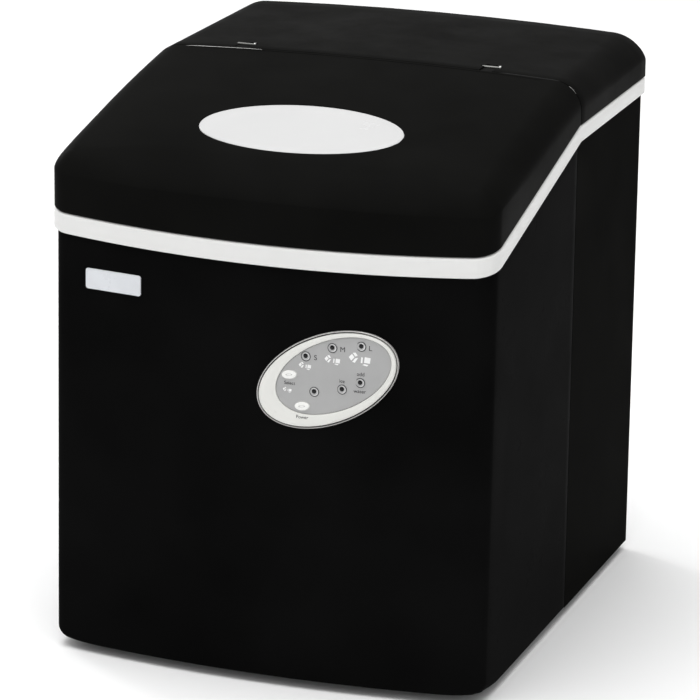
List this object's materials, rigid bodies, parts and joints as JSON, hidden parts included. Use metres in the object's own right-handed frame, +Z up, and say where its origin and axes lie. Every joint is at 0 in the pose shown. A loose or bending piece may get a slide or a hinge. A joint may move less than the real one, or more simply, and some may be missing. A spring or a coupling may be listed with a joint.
{
  "type": "ice maker",
  "caption": "Countertop ice maker with a bowed black housing, sloping white trim band, hinged arched lid with an oval window and a tilted oval control panel.",
  "frame": {"origin": "on the floor, under the middle of the bounding box", "axes": "+Z up, the front with the controls faces -Y, +X is on the right as seen from the front"},
  "size_m": [0.2946, 0.3366, 0.365],
  "materials": {
    "black_plastic": "glossy black",
    "white_trim": "satin white",
    "window": "smooth light grey",
    "panel_white": "satin off-white",
    "panel_grey": "matt grey",
    "bright_ring": "polished",
    "button_white": "smooth white",
    "lamp": "dark lens",
    "badge": "satin silver",
    "rubber": "matt black",
    "inner_plastic": "smooth pale grey",
    "basket_plastic": "smooth pale grey",
    "grey_plastic": "matt grey",
    "steel": "bright",
    "dark_steel": "dark paint",
    "nickel": "nickel plate",
    "copper": "copper",
    "aluminium": "mill finish",
    "foam": "foam",
    "silicone": "milky",
    "board": "green lacquer"
  },
  "bodies": {
    "cabinet": {"front_housing": "black_plastic", "rear_housing": "black_plastic", "base_pan": "dark_steel", "trim_band": "white_trim", "rear_top_cover": "black_plastic", "rear_screw_lower_left": "steel", "rear_screw_lower_right": "steel", "rear_screw_upper_left": "steel", "rear_screw_upper_right": "steel", "foot_front_left": "rubber", "foot_front_right": "rubber", "foot_rear_left": "rubber", "foot_rear_right": "rubber", "cord_gland": "rubber", "hinge_pin_left": "steel", "hinge_pin_right": "steel", "bezel_ring": "bright_ring", "control_bezel": "panel_white", "control_face": "panel_grey", "led_small": "lamp", "led_medium": "lamp", "led_large": "lamp", "led_add_water": "lamp", "led_ice_full": "lamp", "led_power": "lamp", "control_board": "board", "name_plate": "badge", "inner_tub": "inner_plastic", "tub_insulation": "foam", "evaporator": "nickel", "tray_gear_motor": "aluminium", "ice_sensor_left": "lamp", "ice_sensor_right": "lamp", "fan_shroud": "grey_plastic", "fan_motor": "dark_steel", "compressor": "dark_steel", "compressor_mount_1": "rubber", "compressor_mount_2": "rubber", "compressor_mount_3": "rubber", "condenser": "aluminium", "filter_drier": "copper", "discharge_line": "copper", "suction_line": "copper", "liquid_line": "copper", "hot_gas_valve": "nickel", "hot_gas_line": "copper", "water_pump": "grey_plastic", "fill_hose": "silicone", "drain_tube": "silicone"},
    "lid": {"lid_shell": "black_plastic", "lid_window": "window", "lid_liner": "inner_plastic"},
    "select_key": {"select_button": "button_white"},
    "power_key": {"power_button": "button_white"},
    "tray": {"water_tray": "grey_plastic", "tray_drive_shaft": "steel"},
    "pusher": {"ice_pusher": "grey_plastic"},
    "basket": {"ice_basket": "basket_plastic"},
    "fan": {"fan_blade": "grey_plastic"},
    "drain": {"drain_cap": "rubber"}
  },
  "joints": [
    {"name": "lid_hinge", "type": "hinge", "parent": "cabinet", "child": "lid", "pos_m": [0, 0.034, 0.3628], "axis": [-1, 0, 0], "range_deg": [0, 95]},
    {"name": "select_press", "type": "slide", "parent": "cabinet", "child": "select_key", "axis": [0, 1, 0], "range_m": [0, 0.0008], "stiffness_N_per_m": 500},
    {"name": "power_press", "type": "slide", "parent": "cabinet", "child": "power_key", "axis": [0, 1, 0], "range_m": [0, 0.0008], "stiffness_N_per_m": 500},
    {"name": "tray_tilt", "type": "hinge", "parent": "cabinet", "child": "tray", "pos_m": [0, -0.016, 0.252], "axis": [1, 0, 0], "range_deg": [0, 70]},
    {"name": "pusher_swing", "type": "hinge", "parent": "cabinet", "child": "pusher", "pos_m": [0, -0.04, 0.266], "axis": [1, 0, 0], "range_deg": [-40, 0]},
    {"name": "basket_lift", "type": "slide", "parent": "cabinet", "child": "basket", "axis": [0, 0, 1], "range_m": [0, 0.05]},
    {"name": "fan_spin", "type": "hinge", "parent": "cabinet", "child": "fan", "pos_m": [-0.078, 0.095, 0.088], "axis": [1, 0, 0], "continuous": true},
    {"name": "drain_cap_turn", "type": "hinge", "parent": "cabinet", "child": "drain", "pos_m": [0.04, -0.11, 0], "axis": [0, 0, 1], "range_deg": [0, 90]}
  ],
  "couplings": [
    {"joint": "pusher_swing", "follows": "tray_tilt", "ratio": -0.571}
  ]
}
